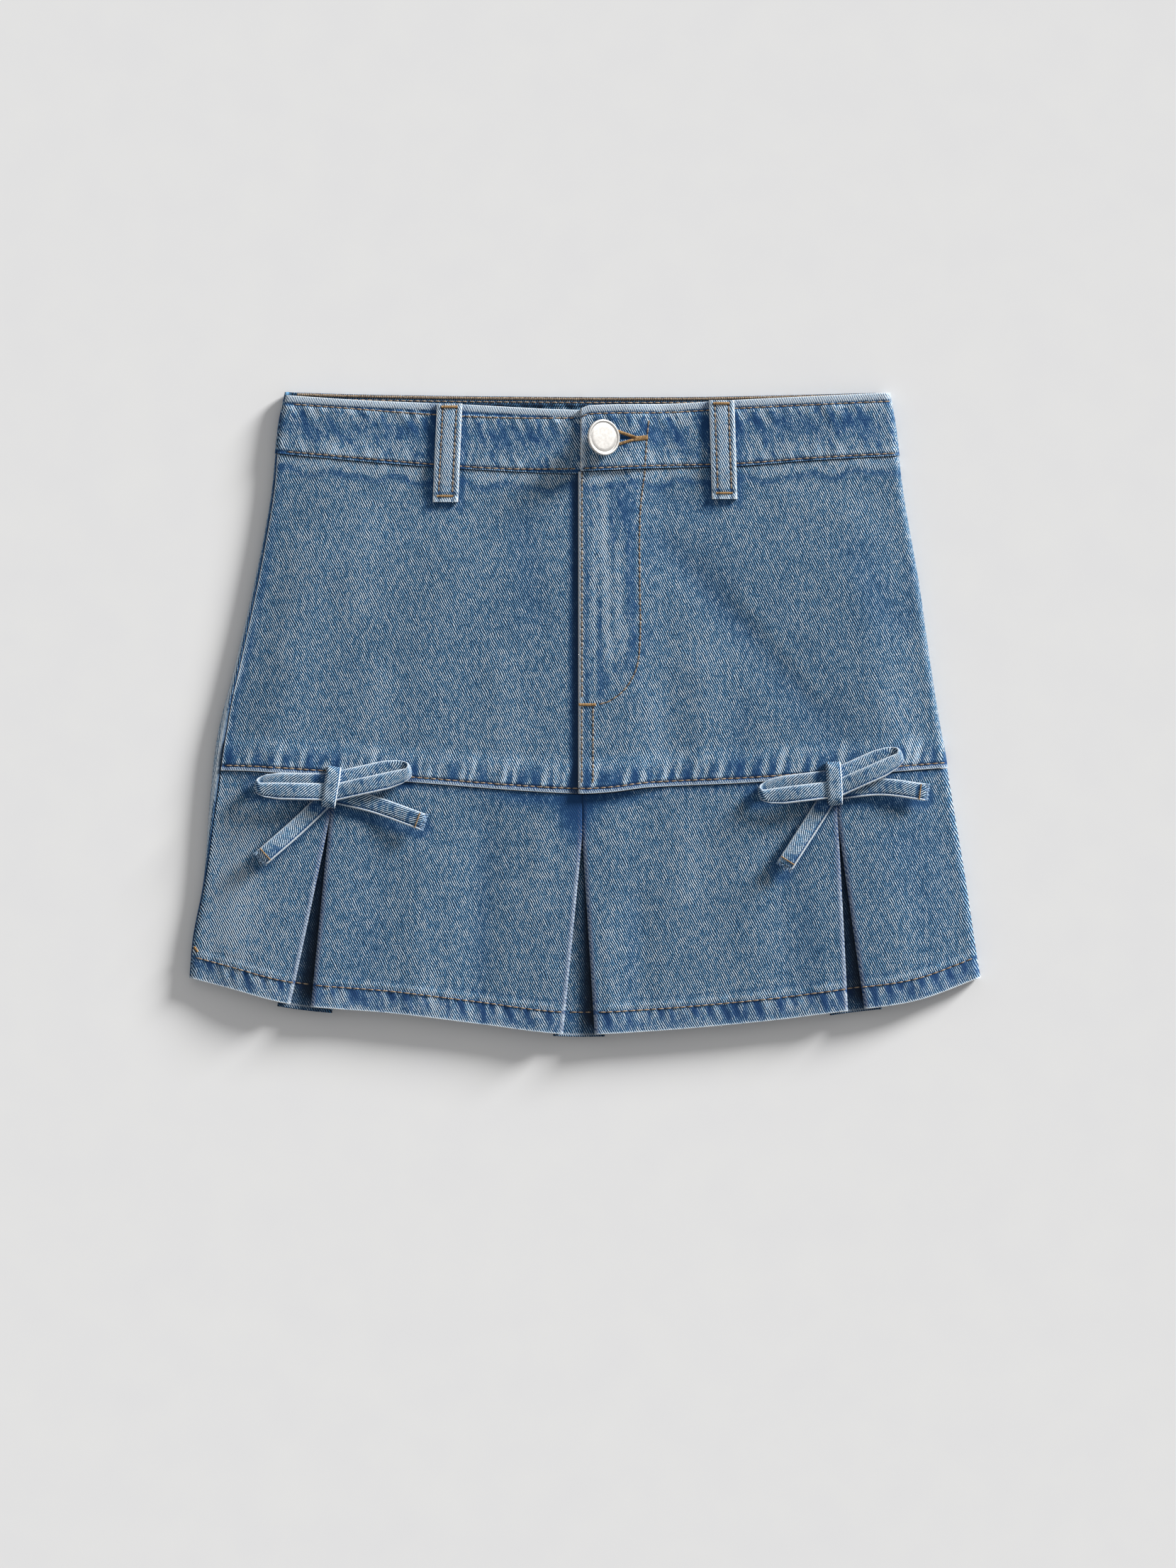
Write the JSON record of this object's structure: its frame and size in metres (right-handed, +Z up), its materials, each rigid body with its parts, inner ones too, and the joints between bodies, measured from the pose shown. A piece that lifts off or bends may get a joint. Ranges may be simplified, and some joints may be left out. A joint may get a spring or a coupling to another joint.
{
  "type": "denim skort",
  "caption": "Denim skort laid flat: buttoned waistband, fly, yoke seam with two tied bows, and a flounce with inverted box pleats.",
  "frame": {"origin": "middle of the garment's outline as it lies, on the surface that it lies on", "axes": "+X to the right of someone who looks down on the front, +Y towards the waist, +Z up out of the front"},
  "size_m": [0.3692, 0.3006, 0.0201],
  "materials": {
    "denim": "faded blue cotton twill denim, matt",
    "shorts_cloth": "plain blue cotton, matt",
    "bow_denim": "pale washed denim strip, matt",
    "button_metal": "satin silver-coloured metal"
  },
  "bodies": {
    "root": {"waistband_back": "denim", "waistband_front_left": "denim", "waistband_front_right": "denim", "front_left": "denim", "front_right": "denim", "flounce_front": "denim", "back_left": "denim", "back_right": "denim", "shorts_back_left": "shorts_cloth", "shorts_back_right": "shorts_cloth", "shorts_front_left": "shorts_cloth", "shorts_front_right": "shorts_cloth", "belt_loop_left": "denim", "belt_loop_right": "denim", "button": "button_metal", "bow_left_knot": "bow_denim", "bow_left_loop_left": "bow_denim", "bow_left_loop_right": "bow_denim", "bow_left_tail_left": "bow_denim", "bow_left_tail_right": "bow_denim", "bow_right_knot": "bow_denim", "bow_right_loop_left": "bow_denim", "bow_right_loop_right": "bow_denim", "bow_right_tail_left": "bow_denim", "bow_right_tail_right": "bow_denim"}
  },
  "joints": []
}
